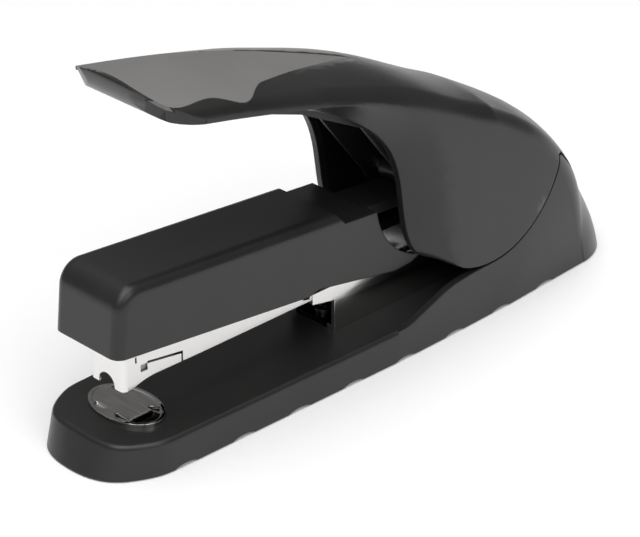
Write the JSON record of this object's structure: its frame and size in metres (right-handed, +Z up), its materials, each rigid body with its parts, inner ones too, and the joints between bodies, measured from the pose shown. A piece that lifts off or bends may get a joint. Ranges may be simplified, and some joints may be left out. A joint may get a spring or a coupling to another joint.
{
  "type": "desktop stapler",
  "caption": "Low-effort desktop stapler with a long low base, a raised curved handle with a grip insert, a pressed head and a front-loading staple tray.",
  "frame": {"origin": "middle of the base's footprint, on the table", "axes": "+X from the nose to the tail, +Y across, +Z up"},
  "size_m": [0.2299, 0.05, 0.1214],
  "materials": {
    "black_plastic": "fine satin moulding",
    "grip_grey": "matt, fine grain",
    "sole_rubber": "matt",
    "bright_steel": "bright nickel plate",
    "polished_steel": "polished chrome plate",
    "plated_steel": "zinc plate",
    "black_steel": "black coat",
    "tool_steel": "hardened, ground",
    "spring_steel": "drawn wire",
    "white_nylon": "natural"
  },
  "bodies": {
    "base": {"base_shell": "black_plastic", "sole_pad": "sole_rubber", "main_frame": "bright_steel", "frame_screws": "plated_steel", "handle_axle": "black_steel", "handle_axle_clips": "black_steel", "head_axle": "plated_steel", "head_axle_clips": "plated_steel", "lift_spring": "spring_steel"},
    "handle": {"handle_shell": "black_plastic", "grip_insert": "grip_grey", "handle_lever": "black_steel", "lever_screws": "plated_steel", "press_pin": "plated_steel", "press_bush": "black_plastic"},
    "striker": {"striker_arm": "black_steel", "driver_blade": "tool_steel", "driver_rivets": "tool_steel"},
    "magazine": {"magazine_carrier": "plated_steel", "staple_core": "black_steel", "core_block": "plated_steel", "core_rivets": "plated_steel", "pusher_rod": "plated_steel", "pusher_spring": "spring_steel", "striker_spring": "spring_steel", "head_cover": "black_plastic", "cover_screws": "plated_steel"},
    "tray": {"staple_tray": "bright_steel"},
    "pusher": {"pusher": "white_nylon"},
    "anvil": {"anvil_plate": "polished_steel", "anvil_clip": "polished_steel"}
  },
  "joints": [
    {"name": "handle_hinge", "type": "hinge", "parent": "base", "child": "handle", "pos_m": [0.044, 0, 0.054], "axis": [0, -1, 0], "range_deg": [0, 22], "stiffness_Nm_per_rad": 1.5, "springref_deg": -28.65},
    {"name": "striker_hinge", "type": "hinge", "parent": "base", "child": "striker", "pos_m": [0.08, 0, 0.029], "axis": [0, -1, 0], "range_deg": [0, 6.9], "deforming": ["striker_spring"]},
    {"name": "magazine_hinge", "type": "hinge", "parent": "base", "child": "magazine", "pos_m": [0.08, 0, 0.029], "axis": [0, -1, 0], "range_deg": [0, 2.8], "deforming": ["lift_spring"]},
    {"name": "tray_slide", "type": "slide", "parent": "magazine", "child": "tray", "axis": [-1, 0, 0], "range_m": [0, 0.095]},
    {"name": "pusher_slide", "type": "slide", "parent": "magazine", "child": "pusher", "axis": [1, 0, 0], "range_m": [0, 0.09], "stiffness_N_per_m": 20, "springref_m": -0.05, "deforming": ["pusher_spring"]},
    {"name": "anvil_turn", "type": "hinge", "parent": "base", "child": "anvil", "pos_m": [-0.0915, 0, 0.0115], "axis": [0, 0, 1], "range_deg": [0, 180]}
  ],
  "couplings": [
    {"joint": "striker_hinge", "follows": "handle_hinge", "ratio": 0.3136},
    {"joint": "magazine_hinge", "follows": "handle_hinge", "ratio": 0.1272}
  ]
}
